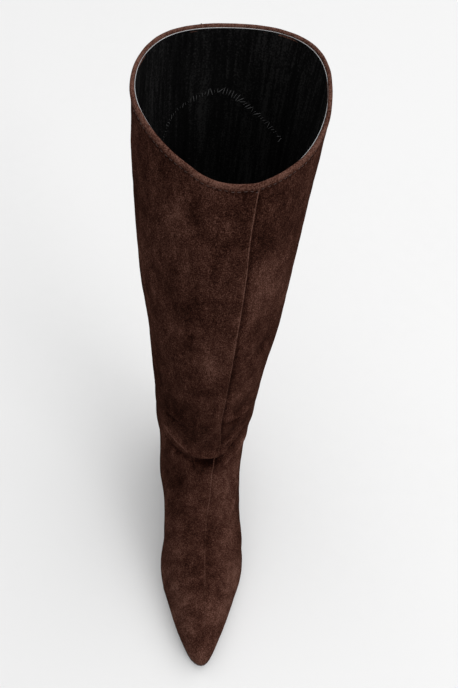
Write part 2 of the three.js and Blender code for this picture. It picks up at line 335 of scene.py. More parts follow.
# Name, darkest and lightest colour, repeats per metre, detail, bump, its height in metres, shader
plainLooks = [
    ("silver_tape", ((0.2, 0.205, 0.21), (0.5, 0.51, 0.52)), 1500.0, 2.0, 0.4, 0.0002,
     {"Roughness": 0.45, "Metallic": 0.35}),
    ("seam_thread", ((0.016, 0.0062, 0.004), (0.05, 0.0205, 0.0135)), 1800.0, 2.0, 0.6, 0.0002,
     {"Roughness": 0.75, "Sheen Weight": 0.2}),
    ("lining_thread", ((0.016, 0.016, 0.0165), (0.11, 0.11, 0.112)), 1800.0, 2.0, 0.6, 0.0002,
     {"Roughness": 0.85, "Sheen Weight": 0.3}),
    ("sock_leather", ((0.006, 0.0056, 0.0054), (0.018, 0.0165, 0.016)), 700.0, 5.0, 0.35, 0.0003,
     {"Roughness": 0.55}),
    ("sole_leather", ((0.0075, 0.006, 0.0055), (0.026, 0.020, 0.018)), 420.0, 6.0, 0.3, 0.0003,
     {"Roughness": 0.6, "Specular IOR Level": 0.2}),
    ("lift_rubber", ((0.006, 0.0057, 0.0055), (0.016, 0.015, 0.0145)), 900.0, 4.0, 0.4, 0.0003,
     {"Roughness": 0.8, "Specular IOR Level": 0.3}),
    ("floor_paper", ((0.76, 0.76, 0.76), (0.78, 0.78, 0.78)), 60.0, 3.0, 0.0, 0.0001,
     {"Roughness": 0.9, "Specular IOR Level": 0.1}),
]
suede = makeSuede("suede")
liningFabric = makeFabric("lining_fabric")
plain = {look[0]: makePlain(*look) for look in plainLooks}
print("materials made")


# Floor

bpy.ops.mesh.primitive_plane_add(size=studio["floorSize"], location=(0.0, 0.0, 0.0))
floor = bpy.context.object
floor.name = "floor"
floor.data.materials.append(plain["floor_paper"])


# The two walls of the upper, taken from the CAD node as clean quads

walls = {
    "weld": 1e-6,  # metres
    "rimAbove": 0.43,  # metres: the collar's rim strip is above this and looks up
    "rimLooksUp": 0.8,
    "shaftRings": 12,  # rings between the collar and the ankle
    "outsideRings": 34,  # the ring at the feather line, counted from the collar
}


def numberRings(mesh):
    # Removes the rim strip, and writes each point's ring, counted down the outside from the collar
    shape = bmesh.new()
    shape.from_mesh(mesh)
    shape.normal_update()
    rim = [f for f in shape.faces
           if f.calc_center_median().z > walls["rimAbove"] and f.normal.z > walls["rimLooksUp"]]
    bmesh.ops.delete(shape, geom=rim, context="FACES")
    ring = shape.verts.layers.float.new("ring")
    border = {v for e in shape.edges if e.is_boundary for v in e.verts}
    widest = max(border, key=lambda v: v.co.x)  # on the outer wall, which is the wider one
    front = [widest]
    loop = {widest}
    while front:
        v = front.pop()
        for e in v.link_edges:
            other = e.other_vert(v)
            if e.is_boundary and other not in loop:
                loop.add(other)
                front.append(other)
    seen = dict.fromkeys(loop, 0)
    front = list(loop)
    while front:
        following = []
        for v in front:
            for e in v.link_edges:
                other = e.other_vert(v)
                if other not in seen:
                    seen[other] = seen[v] + 1
                    following.append(other)
        front = following
    for v, number in seen.items():
        v[ring] = number
    shape.to_mesh(mesh)
    shape.free()


def takeWall(name, outside):
    piece = bpy.data.objects.new(name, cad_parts["upper"].data.copy())
    piece.data.name = name
    scene.collection.objects.link(piece)
    makeActive(piece)
    bpy.ops.object.mode_set(mode="EDIT")
    bpy.ops.mesh.select_all(action="SELECT")
    bpy.ops.mesh.customdata_custom_splitnormals_clear()
    bpy.ops.mesh.remove_doubles(threshold=walls["weld"])
    bpy.ops.object.mode_set(mode="OBJECT")
    numberRings(piece.data)
    bpy.ops.object.mode_set(mode="EDIT")
    bpy.ops.mesh.select_all(action="SELECT")
    bpy.ops.mesh.tris_convert_to_quads(
        face_threshold=math.pi, shape_threshold=math.pi, topology_influence=2.0)
    bpy.ops.mesh.select_mode(type="FACE")
    bpy.ops.mesh.select_all(action="DESELECT")
    shape = bmesh.from_edit_mesh(piece.data)
    ring = shape.verts.layers.float["ring"]
    last = walls["outsideRings"]
    for f in shape.faces:
        isOutside = max(v[ring] for v in f.verts) <= last + 0.5
        isInside = min(v[ring] for v in f.verts) > last + 0.5
        f.select_set(not (isOutside if outside else isInside))
    bpy.ops.mesh.delete(type="FACE")
    bpy.ops.mesh.select_mode(type="VERT")
    bpy.ops.object.mode_set(mode="OBJECT")
    return piece


def refine(piece, shaftCuts):
    # One level all over, then more rings on the long shaft, then a second level
    def level():
        makeActive(piece)
        finer = piece.modifiers.new("finer", "SUBSURF")
        finer.levels = finer.render_levels = 1
        bpy.ops.object.modifier_apply(modifier=finer.name)

    level()
    bpy.ops.object.mode_set(mode="EDIT")
    bpy.ops.mesh.select_all(action="DESELECT")
    bpy.ops.mesh.select_mode(type="EDGE")
    shape = bmesh.from_edit_mesh(piece.data)
    ring = shape.verts.layers.float["ring"]
    rings = [v[ring] for v in shape.verts]
    inside = min(rings) > walls["outsideRings"]
    top = max(rings) if inside else 0
    for e in shape.edges:
        a, b = [abs(v[ring] - top) for v in e.verts]
        e.select = abs(a - b) > 0.25 and max(a, b) < walls["shaftRings"] + 0.2
    bpy.ops.mesh.subdivide(number_cuts=shaftCuts, smoothness=0.0)
    bpy.ops.mesh.select_mode(type="VERT")
    bpy.ops.object.mode_set(mode="OBJECT")
    level()


def addRings(piece, lowest, highest, cuts):
    # More rings in the strips between two ring numbers
    makeActive(piece)
    bpy.ops.object.mode_set(mode="EDIT")
    bpy.ops.mesh.select_mode(type="EDGE")
    bpy.ops.mesh.select_all(action="DESELECT")
    shape = bmesh.from_edit_mesh(piece.data)
    ring = shape.verts.layers.float["ring"]
    for e in shape.edges:
        a, b = [v[ring] for v in e.verts]
        e.select = abs(a - b) > 0.01 and min(a, b) > lowest and max(a, b) < highest
    bpy.ops.mesh.subdivide(number_cuts=cuts, smoothness=0.0)
    bpy.ops.mesh.select_mode(type="VERT")
    bpy.ops.object.mode_set(mode="OBJECT")


def readRings(piece):
    values = np.empty(len(piece.data.vertices), np.float32)
    piece.data.attributes["ring"].data.foreach_get("value", values)
    return values


# Folds, seams and dents, in millimetres. A fold runs along its path, deepest in its middle:
# a trough has a negative depth and a ridge a positive one.

folds = [  # width, depth, tone (painted shade in a trough, painted highlight on a ridge), path
    # the deep fold across the front of the ankle: a slack edge, and the hollow under it
    (3.2, 2.03, 0.051, [(-16, 12.7, 151.2), (-9.6, 9.3, 152.6), (-3.2, 7.3, 153.5), (3.2, 6.6, 154),
     (9.8, 7, 154.4), (16.4, 8.9, 154.9), (21.2, 11.4, 157.8)]),
    (3.6, -2.56, -0.34, [(-10.9, 8.6, 144.7), (-5.3, 6.3, 145.3), (1.2, 5.1, 145.8), (7.8, 5.1, 145.9),
     (14.4, 6.5, 146.1), (20.2, 9.4, 148.4)]),
    (3.8, -0.5, -0.32, [(-9, 7, 141), (-2, 4.6, 142.5), (5, 3.8, 142.5), (12, 5, 142), (18, 8, 144)]),
    # a thin painted highlight along the slack edge
    (1.2, 0.5, 0.16, [(-11, 8.8, 149.5), (-4, 6.4, 149.8), (3, 5.6, 150.2), (10, 6, 150.6),
     (17, 8, 151.5)]),
    # ridges and troughs that run from it up to the outer side
    (2.6, 2.03, 0.238, [(16.7, 5.1, 137.6), (21.6, 8.8, 141.3), (26.6, 13.2, 144.2),
     (31.8, 19.4, 146.6), (35.6, 25.9, 151), (37.6, 30, 160)]),
    (2.6, -2.03, -0.17, [(18.5, 8.7, 149), (23.9, 13.1, 156.2), (28.6, 17.5, 161.7),
     (32.3, 22.3, 168.1), (34.6, 25, 180)]),
    (2.8, 1.62, 0.153, [(14.8, 9.2, 164.1), (19.1, 11.1, 171.6), (24.4, 13.7, 177.4),
     (29.7, 18, 182.6), (34.8, 24.3, 184.2)]),
    (3, -1.89, -0.204, [(14.4, 6.1, 204.6), (19.9, 8.6, 205.4), (25.5, 12.4, 204.7),
     (31.5, 18.2, 202.9), (36.3, 24.2, 200.1)]),
    (3.6, 1.35, 0.085, [(13, 6, 212), (20, 8.6, 213), (27, 13, 212.5), (34, 20.2, 209)]),
    # thin painted highlights along the crests of the two ridges above
    (1.2, 0.7, 0.45, [(17, 4.8, 136), (22.4, 8.8, 139.4), (27.6, 13.4, 142.3), (32.8, 20, 145),
     (36.2, 26.5, 150), (38.2, 31, 160)]),
    (1.2, 0.6, 0.32, [(15.4, 9.2, 162.6), (19.9, 11.2, 169.8), (25.2, 13.9, 175.5), (30.4, 18.2, 181),
     (35.4, 24.6, 184)]),
    # and up to the inner side
    (2.6, 1.2, 0.15, [(-33.5, 36.4, 158.3), (-27.3, 25.3, 161.9), (-20.9, 17.9, 159.2),
     (-14.5, 12.4, 155.3), (-8, 8.5, 152)]),
    (2.6, -1.3, -0.2, [(-33, 34.6, 145.9), (-27.8, 24.6, 146.6), (-22.2, 17.3, 145.3),
     (-16.6, 12.1, 144.3), (-11.7, 8.9, 144.1), (-8.7, 6, 138.6), (-7.2, 2.8, 129.9)]),
    (3.4, -1.35, -0.153, [(-36.9, 44.5, 183.4), (-31.6, 31.2, 186.8), (-26.4, 23.1, 188.1),
     (-20.4, 16.6, 189.9), (-12.9, 11.1, 191.6)]),
    (4.5, 1.22, 0.051, [(-34, 34, 196), (-26, 22, 198), (-17, 13, 200)]),
    (2, 0.81, 0.17, [(-23.8, 19.2, 146.1), (-24, 17.6, 136.4), (-24.3, 15.5, 127.5)]),
    # a thin painted highlight and a thin painted shade along the creases above
    (1.3, 0.5, 0.26, [(-30, 28.5, 161), (-24, 20.8, 160.5), (-17.5, 14.6, 157.2), (-11, 10, 153.6)]),
    (1.3, -0.5, -0.25, [(-9.4, 7.6, 144.6), (-8.1, 5.4, 139), (-6.9, 3.2, 133)]),
    # faint pulls on the instep's outer side
    (2.4, 0.68, 0.119, [(20.9, -32.2, 76.8), (26.4, -20.6, 82.6), (31.1, -9.1, 88.7),
     (32.7, 0.9, 98.1), (31.8, 8.3, 113)]),
    (2.2, 0.68, 0.136, [(15.2, -21.3, 91.6), (20.3, -11.9, 99.8), (23.6, -3, 109.3),
     (23.9, 3.1, 120.3)]),
    (5, -0.81, -0.136, [(-15.2, 4.5, 122.7), (-19.1, -1.3, 105.1), (-21.6, -9.1, 90.7)]),
    # slack up the shaft
    (4.5, -0.9, -0.04, [(39.5, 32, 238), (34, 22, 232), (28, 14.5, 224), (21, 9.5, 219)]),
    (7.0, -0.9, -0.05, [(40.7, 30, 305), (36, 24, 296), (30, 17, 287), (23, 12, 280)]),
    (7.0, -0.8, -0.07, [(-42, 48, 262), (-36, 33, 256), (-29, 23, 249), (-20, 14, 241)]),
    (8.0, -0.8, -0.05, [(44, 37, 396), (38, 31, 388), (30, 23, 378)]),
    (9.0, -0.8, -0.06, [(-46, 50, 350), (-38, 34, 344), (-26, 22, 332)]),
    (7.0, -0.7, -0.08, [(-30, 28, 300), (-20, 17, 288), (-10, 11, 272)]),
    (8.0, 0.7, 0.06, [(-34, 30, 408), (-24, 22, 392), (-14, 17, 372), (-8, 15, 350)]),
    # back of the ankle
    (5.0, -1.7, -0.09, [(-30, 80, 176), (-20, 99, 172), (-6, 108, 170), (10, 108, 171), (24, 99, 175),
     (34, 82, 180)]),
    (6.0, 1.3, 0.05, [(-33, 76, 190), (-20, 100, 187), (-4, 110, 186), (14, 109, 187), (28, 97, 191),
     (37, 78, 196)]),
    (5.5, -1.2, -0.06, [(-26, 92, 206), (-10, 108, 202), (8, 111, 203), (24, 104, 208)]),
    (6.0, 1.0, 0.04, [(-20, 98, 152), (-6, 107, 149), (10, 107, 150), (24, 98, 154)]),
    # sides of the ankle
    (5.0, -1.2, -0.07, [(36, 34, 158), (38.5, 48, 162), (38, 64, 167), (34, 80, 172)]),
    (5.0, -1.2, -0.07, [(-33, 42, 152), (-35.5, 54, 156), (-35, 68, 162), (-31, 82, 168)]),
    (6.0, 1.0, 0.04, [(39, 40, 142), (40, 52, 147), (37.5, 70, 152)]),
    (6.0, 0.9, 0.04, [(-34, 38, 136), (-36, 52, 142), (-34, 68, 148)]),
    # soft creases where the toes bend, and a flat press on the instep
    (6.0, -0.4, -0.02, [(-30, -52, 37), (-18, -54, 54), (-4, -56, 64), (10, -54, 65), (24, -50, 56),
     (36, -47, 38)]),
    (7.0, -0.5, -0.05, [(-22, -16, 74), (-24, -28, 62), (-27, -40, 49)]),
]

bulges = [  # soft swells and hollows: place, radius, height
    ((40.5, 33, 202), 20.0, 1.2),
    ((39.2, 34, 176), 15.0, 2.4),
    ((39.5, 36, 155), 13.0, 1.2),
    ((-32.5, 24, 84), 17.0, 1.9),
    ((40.5, -28, 46), 15.0, 1.7),
    ((-34, -62, 18), 18.0, -0.9),
    ((-44.5, 58, 263), 22.0, -1.2),
    ((46, 41, 285), 34.0, 1.1),
    ((-40, 48, 205), 24.0, 0.4),
    ((0, 112, 320), 60.0, 1.2),
]

foldShape = {
    "steps": 26,  # points along a fold's path
    "fullness": 0.7,  # below 1, a fold stays deep nearer to its ends
    "shoulder": (0.3, 2.1),  # share of the depth beside the fold, and where, in widths
    "ends": (3.0, 0.2),  # how far it takes to grow from its ends, and the share of depth there
}

seamShape = {
    "steps": 60,
    "fade": (0.02, 0.08),  # shares of the run at the collar and at the toe
    "step": (0.5, 7.0),  # height and reach of the panels' step
    "groove": (-0.5, 1.0, 1.3, 6.0),  # height, place beside the seam, width, reach
    "onShaft": ([0.5, 0.62, 0.75], [1.0, 0.4, 0.12]),  # shares of the run, and the strength there
    "shade": (0.06, -0.32, 2.6),  # painted highlight on the inner side, painted shadow on the outer side, reach
}

collarRelief = {
    "ringStep": 25.0,  # millimetres between two rings at the collar
    "bands": [(1.2, 1.7, 0.4), (3.4, 0.9, -0.4)],  # bead, groove: how far under the edge, width, height
    "tones": [(0.0, 1.8, 0.32), (3.4, 1.0, -0.12)],  # painted highlight along the edge, painted shade in the groove: the same, with a tone
    "fade": 30.0,  # how far down the edge's own waves reach
    "waves": [  # place, radius, up, outwards
        ((-14, 18.5, 444), 18.0, -2.4, 0.2),
        ((22, 20, 443), 12.0, 1.0, 0.2),
        ((13, 17, 442), 4.0, -0.8, -0.3),
        ((-36, 35, 453), 15.0, -1.2, 0.9),
        ((-54, 84, 461), 22.0, 0.0, -2.6),
        ((-46, 108, 460), 20.0, 0.0, -2.2),
        ((50, 102, 461), 24.0, 0.0, 2.6),
        ((8, 132, 457), 26.0, -1.6, 0.4),
    ],
}

frontSeam = [
    (14.0, 17.3, 441.9), (12.9, 16.2, 427.4), (12.9, 14.7, 401.4), (13.8, 13.1, 368.4),
    (13.9, 11.1, 337.5), (13.0, 8.7, 306.0), (12.4, 6.3, 269.7), (12.2, 5.2, 245.0),
    (11.2, 4.8, 222.5), (11.2, 5.3, 203.0), (12.9, 7.3, 184.8), (13.9, 8.6, 165.0), (11.4, 5.6, 146.0),
    (9.6, 2.9, 136.7), (9.0, -3.7, 119.5), (7.9, -12.6, 104.0), (5.6, -27.8, 87.4), (4.3, -49.3, 69.3),
    (4.0, -71.7, 55.7), (3.5, -95.6, 44.0), (2.7, -114.0, 35.4),
]
seamCordHighlights = (  # shares of the seam's run from the collar, and the painted highlight there
    [0.0, 0.25, 0.38, 0.5, 0.6, 0.66, 0.8, 0.93, 1.0],
    [0.36, 0.3, 0.17, 0.11, 0.1, 0.24, 0.13, 0.14, 0.14],
)


def foldRelief(places):
    # How far folds and bulges move each place outwards, and the folds' tone: painted shade in the
    # troughs and painted highlight on the ridges
    lift = np.zeros(len(places))
    tone = np.zeros(len(places))
    share, beside = foldShape["shoulder"]
    run, least = foldShape["ends"]
    for width, depth, shade, points in folds:
        path = smoothPath(points, foldShape["steps"])
        gap, along = nearPath(places, path)
        strength = np.sin(np.pi * np.clip(along, 0, 1)) ** foldShape["fullness"]
        ends = np.minimum(*[np.linalg.norm(places - end, axis=1) for end in (path[0], path[-1])])
        shape = hump(gap, width) * strength
        shoulders = share * hump(gap - beside * width, width) * strength
        lift += depth * (shape - shoulders) * np.clip(ends / run + least, 0, 1)
        tone += shade * shape
    for place, radius, height in bulges:
        lift += height * hump(np.linalg.norm(places - place, axis=1), radius)
    return lift, tone


def seamStep(places):
    # The inner panel's edge lies over the outer panel along the front seam, with a painted highlight on
    # the inner side and a painted shadow on the outer side
    path = smoothPath(frontSeam, seamShape["steps"])
    gap, along = nearPath(places, path)
    shares = np.linspace(0, 1, len(path))
    centre = np.stack([np.interp(along, shares, path[:, k]) for k in range(3)], 1)
    side = places[:, 0] - centre[:, 0]
    atCollar, atToe = seamShape["fade"]
    fade = np.clip(along / atCollar, 0, 1) * np.clip((1 - along) / atToe, 0, 1)
    height, reach = seamShape["step"]
    step = np.where(side < 0, 1.0, -1.0) * np.exp(-gap / reach) * height
    height, beside, width, reach = seamShape["groove"]
    groove = height * hump(side - beside, width) * hump(gap, reach)
    onShaft = np.interp(along, *seamShape["onShaft"])
    inner, outer, reach = seamShape["shade"]
    shade = hump(gap, reach) * np.where(side < 0, inner, outer)
    return (step + groove) * fade * onShaft, fade * shade * onShaft


def rimWaves(places, rings):
    # How the collar's edge wanders: outwards and upwards
    near = hump(np.abs(rings) * collarRelief["ringStep"], collarRelief["fade"])
    outwards = np.zeros(len(places))
    upwards = np.zeros(len(places))
    for place, radius, up, out in collarRelief["waves"]:
        amount = near * hump(np.linalg.norm(places[:, :2] - place[:2], axis=1), radius)
        upwards += up * amount
        outwards += out * amount
    return outwards, upwards


def rimRelief(rings):
    # The rolled edge and the groove of its stitches, with a painted highlight on the edge and painted
    # shade in the groove
    below = np.abs(rings) * collarRelief["ringStep"]
    lift = sum(height * hump(below - at, width) for at, width, height in collarRelief["bands"])
    tone = sum(shade * hump(below - at, width) for at, width, shade in collarRelief["tones"])
    return lift, tone


def unevenness(places, amount, size):
    return amount * np.array([noise.noise(Vector(p) / size) for p in places])


# Lighter and darker patches of the nap, partly its own brushed tone and partly painted light and shade:
# place, radius, lighter or darker
napAndShadePatches = [
    ((-5.6, 16.9, 426.5), 7.0, -0.02), ((-4.4, 16.5, 417.4), 7.0, 0.12), ((-3, 16, 406.6), 7.0, 0.1),
    ((3.4, 15.7, 424), 9.0, -0.09), ((2.5, 15.1, 405.1), 9.0, -0.06), ((-37.8, 36.9, 416.7), 7.0, 0.06),
    ((-30.4, 29.6, 412.7), 7.0, 0.07), ((-21.6, 23, 405.7), 7.0, 0.08),
    ((-12.4, 18.4, 393.8), 8.0, 0.09), ((-4.4, 15.5, 381.1), 7.0, 0.06),
    ((-23.5, 24.3, 425.8), 9.0, -0.07), ((-14.9, 17.6, 343.9), 11.0, -0.05),
    ((-22, 20.7, 324.7), 11.0, -0.11), ((-13.3, 15.7, 322.8), 11.0, -0.09),
    ((-32.8, 30.6, 338.8), 9.0, -0.08), ((-5.8, 11.5, 301), 9.0, 0.17), ((-6, 10.3, 282.6), 11.0, 0.2),
    ((-7, 9.4, 263.8), 9.0, 0.1), ((-27.3, 23.6, 287.6), 11.0, 0.05),
    ((-32.6, 29.6, 247.4), 10.0, 0.04), ((18, 17, 404.3), 8.0, -0.15), ((19, 16.9, 391.6), 8.0, -0.12),
    ((22.6, 20.1, 420.6), 9.0, 0.07), ((29.8, 22, 356.6), 12.0, 0.07),
    ((21.1, 13.6, 320.6), 12.0, 0.03), ((19.7, 10.4, 281.8), 11.0, -0.04),
    ((-18.3, 14.2, 215.8), 12.0, -0.08), ((-1.6, 6, 219.1), 9.0, -0.08),
    ((-6.2, 7.8, 194.2), 9.0, -0.1), ((6.9, 5.3, 251.4), 9.0, 0.04),
    ((-28.3, 19.9, 120.8), 12.0, -0.14), ((-24.9, 7.6, 106.6), 12.0, -0.12),
    ((-21.6, -11.6, 87.9), 9.0, -0.14), ((-10.1, -1.9, 116.3), 10.0, -0.04),
    ((-0.4, -1.3, 124.7), 8.0, -0.05), ((20.1, -7.4, 106.6), 12.0, 0.12),
    ((25.4, -17.8, 87.2), 12.0, 0.14), ((29.6, -29.7, 69.8), 12.0, 0.08),
    ((13.2, -1.1, 123.6), 8.0, 0.1), ((-23.6, -38.9, 62.3), 11.0, 0.14), ((-25.5, -53, 50), 10.0, 0.08),
    ((-24, -68.5, 41.3), 12.0, 0.18), ((-19.2, -86.3, 37.4), 10.0, 0.08),
    ((-8.1, -32.7, 79.4), 10.0, -0.08), ((-6.6, -54.5, 64.1), 12.0, -0.13),
    ((-5.2, -71.4, 55), 12.0, -0.13), ((-7.3, -89, 45.9), 9.0, -0.06), ((23.8, -52.7, 57.3), 14.0, 0.1),
    ((28.8, -61.9, 43.4), 13.0, 0.12), ((22.7, -78.7, 39.4), 12.0, 0.1),
    ((15.6, -96.3, 36.1), 12.0, 0.12), ((-4.6, -117.7, 33.1), 7.0, -0.14),
    ((2.8, -101, 41.5), 9.0, 0.04), ((-2.2, -131.2, 25), 9.0, 0.12), ((-12.9, -111, 31), 9.0, 0.05),
    ((9.6, -115.7, 30.9), 9.0, 0.1),
    # broad painted shade on the inner side and round the ankle's fold, and painted light on the outer
    # side and on the side walls of the toe
    ((33, 17, 132), 13.0, 0.14), ((30, 8, 116), 13.0, 0.12), ((-12, 10, 200), 20.0, -0.08),
    ((-50, 70, 380), 36.0, -0.1), ((-48, 60, 430), 26.0, -0.08), ((-33, 36, 200), 34.0, -0.16),
    ((35, 27, 364), 26.0, 0.05), ((22, 24, 430), 16.0, -0.04), ((44, 40, 330), 26.0, 0.04),
    ((24, -95, 24), 15.0, 0.16), ((-25, -95, 22), 13.0, 0.16), ((36, -60, 28), 15.0, 0.16),
    ((-37, -50, 28), 15.0, 0.12), ((15, -120, 18), 11.0, 0.16), ((-15, -120, 18), 11.0, 0.16),
    ((0, -134, 14), 12.0, 0.14), ((0, -70, 45), 55.0, 0.04), ((-30.7, 27.7, 215.7), 16.0, -0.08),
    ((-3.4, 7.3, 248.5), 15.0, -0.07), ((4.5, 5, 146.5), 6.0, -0.1), ((8, 3.5, 140), 5.0, -0.12),
    ((-5, 7, 147), 6.0, -0.08), ((25.1, -11.7, 94.9), 7.0, 0.09), ((8.8, -14.6, 102.4), 6.0, -0.09),
    ((-23.7, 18.1, 141), 10.0, -0.09), ((-12.8, 10.7, 151.4), 10.0, -0.08),
    ((-2.4, 8.6, 169.2), 9.0, -0.06), ((7, -0.2, 128), 6.0, -0.13), ((-2.4, 2.6, 134), 8.0, -0.07),
    ((-15.4, 7, 129.2), 9.0, -0.07), ((33.4, 13.4, 118.2), 7.0, 0.07),
]


def napAndShadeTone(places):
    tone = np.zeros(len(places))
    for place, radius, amount in napAndShadePatches:
        tone += amount * hump(np.linalg.norm(places - place, axis=1), radius)
    return tone


# The suede outside, with its turned collar edge and its tucked-in foot edge

suedeShape = {
    "shaftCuts": 2,
    "collarCuts": (-0.1, 0.3, 3),  # from ring, to ring, cuts
    "ankleCuts": (12.4, 16.1, 1),  # where the deep creases are
    "uneven": [(0.55, 34.0), (0.22, 9.0)],  # height and size of the slack
    # how far inward and up from the rim, and from the foot edge
    "turn": [(0.45, 0.75), (1.15, 1.05), (1.9, 0.85), (2.4, 0.2), (2.5, -2.2)],
    "tuck": [(0.9, -0.05), (2.0, 0.0)],
    # the tucked-in foot edge is painted darker: painted shade where it turns under to the sole
    "tuckShade": -0.1,
    "overSole": 0.15,  # gap between the foot edge and the outsole
}


def borderLoops(shape):
    # The open borders of a mesh, each as its points in order, and the same in every run
    edges = dict.fromkeys(e for e in shape.edges if e.is_boundary)
    loops = []
    while edges:
        edge = next(iter(edges))
        del edges[edge]
        loop = [edge.verts[0], edge.verts[1]]
        while True:
            following = [e for e in loop[-1].link_edges if e in edges]
            if not following:
                break
            del edges[following[0]]
            loop.append(following[0].other_vert(loop[-1]))
        if loop[-1] is loop[0]:
            loop.pop()
        loops.append(loop)
    return loops


def turnBorder(piece, top, offsets, tone):
    # Carries a border on over the listed offsets, ring by ring
    shape = bmesh.new()
    shape.from_mesh(piece.data)
    toneLayer = shape.verts.layers.float["tone"]
    pick = max if top else min
    loop = pick(borderLoops(shape), key=lambda points: sum(v.co.z for v in points) / len(points))
    count = len(loop)
    centre = sum((v.co for v in loop), Vector()) / count
    inward = []
    for i, v in enumerate(loop):
        run = loop[(i + 1) % count].co - loop[i - 1].co
        side = Vector((run.y, -run.x, 0.0)).normalized()
        if top and side.dot(centre - v.co) < 0:
            side.negate()
        inward.append(side)
    if not top:
        turned = sum(side.dot(centre - v.co) for side, v in zip(inward, loop)) < 0
        inward = [-side if turned else side for side in inward]
    previous = loop
    for inside, up in offsets:
        ring = []
        for v, side in zip(loop, inward):
            new = shape.verts.new(v.co + side * (inside * mm) + Vector((0, 0, up * mm)))
            new[toneLayer] = v[toneLayer] + tone
            ring.append(new)
        for i in range(count):
            j = (i + 1) % count
            shape.faces.new((previous[i], previous[j], ring[j], ring[i]))
        previous = ring
    bmesh.ops.recalc_face_normals(shape, faces=shape.faces)
    shape.to_mesh(piece.data)
    shape.free()


suedeUpper = takeWall("suede_upper", True)
refine(suedeUpper, suedeShape["shaftCuts"])
addRings(suedeUpper, *suedeShape["collarCuts"])
addRings(suedeUpper, *suedeShape["ankleCuts"])
places, normals = readMesh(suedeUpper)
rings = readRings(suedeUpper)
if normals[places[:, 0].argmax()][0] < 0:
    normals = -normals
lift, foldShadeAndHighlight = foldRelief(places)
# seamTone: painted highlight on the seam's inner side and painted shadow on its outer side
step, seamTone = seamStep(places)
edgeOut, edgeUp = rimWaves(places, rings)
bead, rimHighlightAndShade = rimRelief(rings)
lift += step + edgeOut + bead + sum(unevenness(places, *slack) for slack in suedeShape["uneven"])
moved = places + normals * lift[:, None]
moved[:, 2] += edgeUp
soleSurface = surfaceOf(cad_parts["outsole"])
for i in np.flatnonzero(rings > walls["outsideRings"] - 0.1):
    nearest, _, _, gap = soleSurface.find_nearest(Vector(moved[i]) * mm)
    if gap / mm > suedeShape["overSole"]:
        nearest = np.array(nearest) / mm
        moved[i] = nearest + (moved[i] - nearest) * (suedeShape["overSole"] * mm / gap)
writeMesh(suedeUpper, moved)
# The tone: painted shade and highlight of the folds, the seam and the collar's edge, and the nap's
# patches with their painted light and shade
paint(suedeUpper, "tone", foldShadeAndHighlight + seamTone + rimHighlightAndShade + napAndShadeTone(places))
turnBorder(suedeUpper, True, suedeShape["turn"], 0.0)
# the tucked-in foot edge gets its painted shade
turnBorder(suedeUpper, False, suedeShape["tuck"], suedeShape["tuckShade"])
makeActive(suedeUpper)
bpy.ops.object.shade_smooth()
finishPiece(suedeUpper, suede)
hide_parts("upper")
print("suede upper:", len(suedeUpper.data.polygons), "faces")


# The black lining, a hair's breadth inside

liningShape = {
    "shaftCuts": 1,
    "gap": 0.12,  # how far it stands off the wall
    "folds": 0.7,  # height of the shallow folds
    "foldsFrom": (250.0, 80.0),  # height above the floor where they begin, and over which they grow
    "collarFade": 22.0,
    "centre": 66.0,  # Y of the shaft's middle
    "foldSize": (4.2, 240.0),  # folds round the shaft, and their length
    "sink": (0.6, 8.0),  # how far its edge lies under the rim, and the reach of that
    "ribTone": 0.12,
    "underSuede": 0.6,  # least depth under the suede near the foot edge
    "edgeRings": 4,
}

lining = takeWall("lining", False)
refine(lining, liningShape["shaftCuts"])
places, normals = readMesh(lining)
if normals[places[:, 0].argmax()][0] > 0:
    normals = -normals
rings = readRings(lining)
below = (rings.max() - rings) * collarRelief["ringStep"]
lift, _ = foldRelief(places)
edgeOut, edgeUp = rimWaves(places, rings.max() - rings)
angle = np.arctan2(places[:, 1] - liningShape["centre"], places[:, 0])
foldsFrom, foldsOver = liningShape["foldsFrom"]
rise = np.clip((places[:, 2] - foldsFrom) / foldsOver, 0, 1)
rise *= np.clip(below / liningShape["collarFade"], 0, 1)
around, foldLength = liningShape["foldSize"]
ripple = np.array([noise.noise(Vector((math.cos(a) * around, math.sin(a) * around, z / foldLength)))
                   for a, z in zip(angle, places[:, 2])])
inwards = rise * liningShape["folds"] * (ripple + 0.5) + liningShape["gap"]
moved = places + normals * (inwards - lift - edgeOut)[:, None]
sink, sinkReach = liningShape["sink"]
moved[:, 2] += edgeUp - sink * hump(below, sinkReach)
suedeSurface = surfaceOf(suedeUpper)
for i in np.flatnonzero(rings < walls["outsideRings"] + liningShape["edgeRings"]):
    nearest, outwards, _, _ = suedeSurface.find_nearest(Vector(moved[i]) * mm)
    depth = (nearest - Vector(moved[i]) * mm).dot(outwards) / mm
    moved[i] -= np.array(outwards) * max(liningShape["underSuede"] - depth, 0)
writeMesh(lining, moved)
paint(lining, "tone", ripple * liningShape["ribTone"])
makeActive(lining)
bpy.ops.object.shade_smooth()
finishPiece(lining, liningFabric)
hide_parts("upper")
print("lining:", len(lining.data.polygons), "faces")


# Seams, stitches and the tape inside the collar

def laidOn(tree, points, height):
    # Places in millimetres, moved on to the surface and out by height
    laid = []
    for point in points:
        place, normal, _, _ = tree.find_nearest(Vector(point) * mm)
        laid.append(place + normal * (height * mm))
    return laid


def makeTube(name, points, radius, closed, material, sides=8):
    # A round cord through the points, as a mesh
    curve = bpy.data.curves.new(name, "CURVE")
    curve.dimensions = "3D"
    curve.bevel_depth = radius * mm
    curve.bevel_resolution = sides // 4
    curve.use_fill_caps = not closed
    spline = curve.splines.new("POLY")
    spline.points.add(len(points) - 1)
    for target, point in zip(spline.points, points):
        target.co = (*point, 1.0)
    spline.use_cyclic_u = closed
    piece = bpy.data.objects.new(name, curve)
    scene.collection.objects.link(piece)
    makeActive(piece)
    bpy.ops.object.convert(target="MESH")
    piece = bpy.context.object
    bpy.ops.object.shade_smooth()
    finishPiece(piece, material)
    return piece


